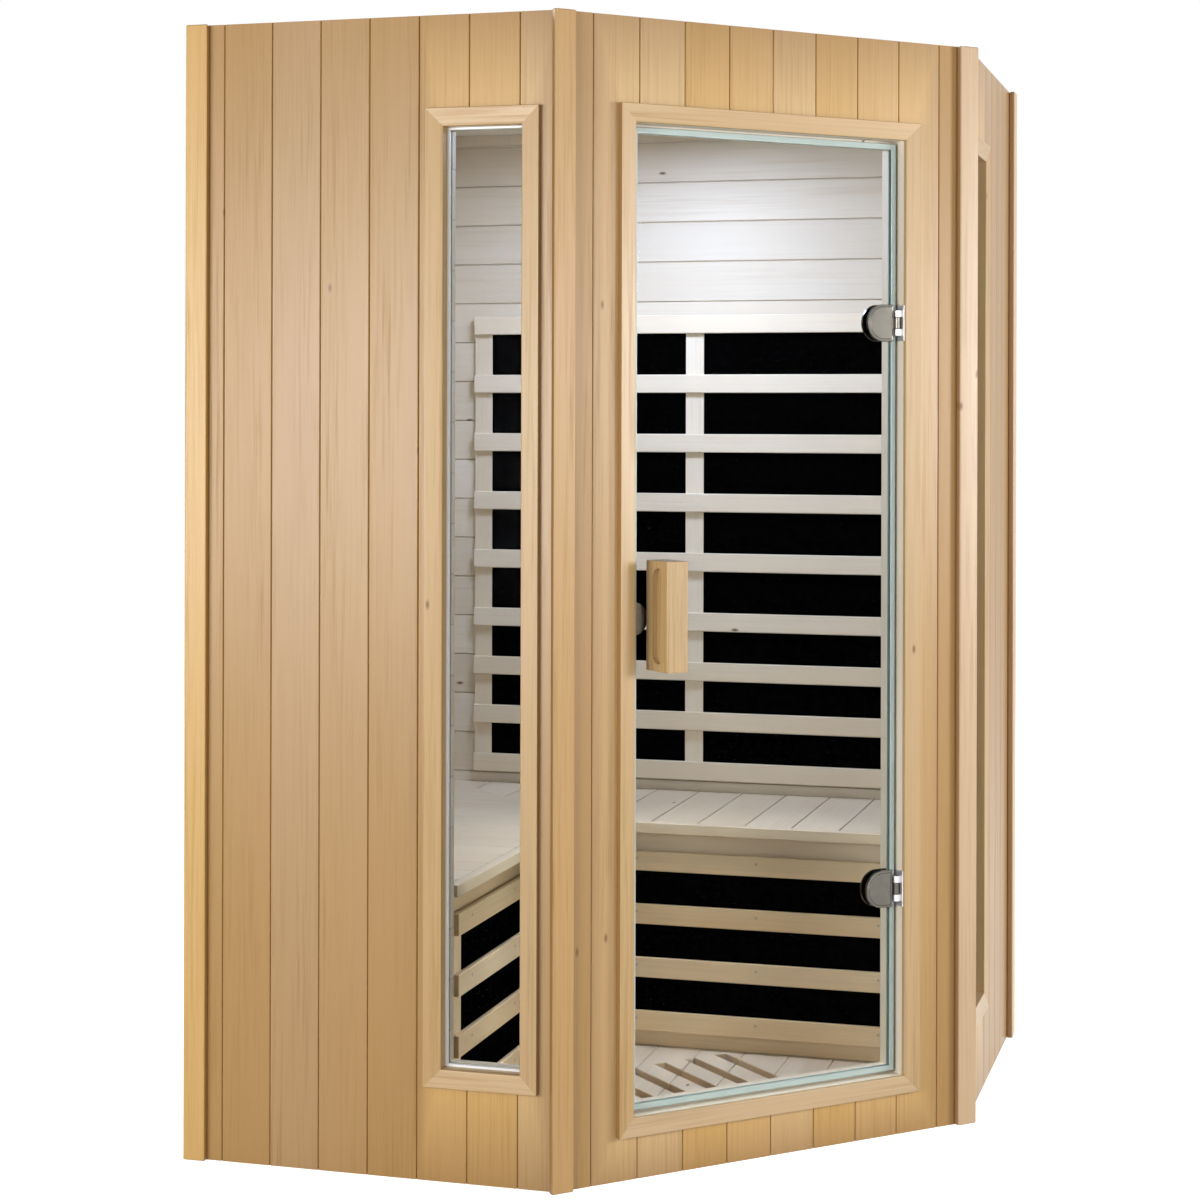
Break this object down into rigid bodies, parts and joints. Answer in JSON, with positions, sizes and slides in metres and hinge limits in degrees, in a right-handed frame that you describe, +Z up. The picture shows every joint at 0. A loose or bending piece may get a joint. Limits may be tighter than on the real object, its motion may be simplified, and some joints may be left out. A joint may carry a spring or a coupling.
{
  "type": "infrared sauna cabin",
  "caption": "Corner infrared sauna cabin with board-clad timber walls, hinged glass door, slit side windows, L-shaped bench and heaters behind slatted guards.",
  "frame": {"origin": "on the floor, under the middle of the outer box", "axes": "+Z up, -Y out of the door, +Y to the rear corner, +X to the right seen from the front"},
  "size_m": [1.7568, 1.3805, 1.9],
  "materials": {
    "outer_wood": "satin hemlock boards",
    "inner_wood": "pale sanded basswood",
    "plywood": "plain plywood",
    "heater_black": "matt black carbon panel",
    "clear_glass": "clear toughened glass",
    "seal_plastic": "clear soft channel seal",
    "white_plastic": "satin white",
    "dark_plastic": "gloss black",
    "chrome": "polished",
    "steel": "satin"
  },
  "bodies": {
    "cabin": {"floor_base": "plywood", "floor_boards": "inner_wood", "front_wall_cladding": "outer_wood", "front_wall_panel": "inner_wood", "right_wall_cladding": "outer_wood", "left_wall_cladding": "outer_wood", "right_wall_panel": "inner_wood", "left_wall_panel": "inner_wood", "right_window_casing": "outer_wood", "left_window_casing": "outer_wood", "right_window_bead": "white_plastic", "left_window_bead": "white_plastic", "right_window_glass": "clear_glass", "left_window_glass": "clear_glass", "back_right_wall_sheet": "plywood", "back_left_wall_sheet": "plywood", "back_right_wall_panel": "inner_wood", "back_left_wall_panel": "inner_wood", "front_left_corner_strip": "outer_wood", "front_right_corner_strip": "outer_wood", "rear_right_corner_strip": "outer_wood", "rear_left_corner_strip": "outer_wood", "door_casing": "outer_wood", "door_jamb": "inner_wood", "door_magnet_catch": "dark_plastic", "upper_hinge_leaf": "chrome", "lower_hinge_leaf": "chrome", "right_bench_seat": "inner_wood", "left_bench_seat": "inner_wood", "right_bench_skirt": "inner_wood", "left_bench_skirt": "inner_wood", "right_skirt_guard": "inner_wood", "left_skirt_guard": "inner_wood", "right_skirt_heater": "heater_black", "left_skirt_heater": "heater_black", "back_right_guard": "inner_wood", "back_left_guard": "inner_wood", "back_right_heater": "heater_black", "back_left_heater": "heater_black", "ceiling_panel": "inner_wood", "roof_cover": "plywood", "ceiling_cornice": "inner_wood", "vent_frame": "inner_wood", "ceiling_light": "white_plastic", "power_unit": "steel", "control_panel": "dark_plastic"},
    "door": {"door_glass": "clear_glass", "door_seal": "seal_plastic", "door_handle": "outer_wood", "door_handle_back_plate": "outer_wood", "door_strike_plate": "steel", "upper_hinge_plate": "chrome", "upper_hinge_back_plate": "chrome", "lower_hinge_plate": "chrome", "lower_hinge_back_plate": "chrome"},
    "shutter": {"vent_shutter": "inner_wood"},
    "power_button": {"control_button_power": "white_plastic"},
    "light_button": {"control_button_light": "white_plastic"},
    "plus_button": {"control_button_plus": "white_plastic"},
    "minus_button": {"control_button_minus": "white_plastic"}
  },
  "joints": [
    {"name": "door_hinge", "type": "hinge", "parent": "cabin", "child": "door", "pos_m": [0.2615, -0.63303, 0.918], "axis": [0, 0, 1], "range_deg": [0, 105]},
    {"name": "shutter_slide", "type": "slide", "parent": "cabin", "child": "shutter", "axis": [1, 0, 0], "range_m": [0, 0.11]},
    {"name": "power_button_press", "type": "slide", "parent": "cabin", "child": "power_button", "axis": [0.7071, -0.7071, 0], "range_m": [0, 0.0012], "stiffness_N_per_m": 400},
    {"name": "light_button_press", "type": "slide", "parent": "cabin", "child": "light_button", "axis": [0.7071, -0.7071, 0], "range_m": [0, 0.0012], "stiffness_N_per_m": 400},
    {"name": "plus_button_press", "type": "slide", "parent": "cabin", "child": "plus_button", "axis": [0.7071, -0.7071, 0], "range_m": [0, 0.0012], "stiffness_N_per_m": 400},
    {"name": "minus_button_press", "type": "slide", "parent": "cabin", "child": "minus_button", "axis": [0.7071, -0.7071, 0], "range_m": [0, 0.0012], "stiffness_N_per_m": 400}
  ]
}
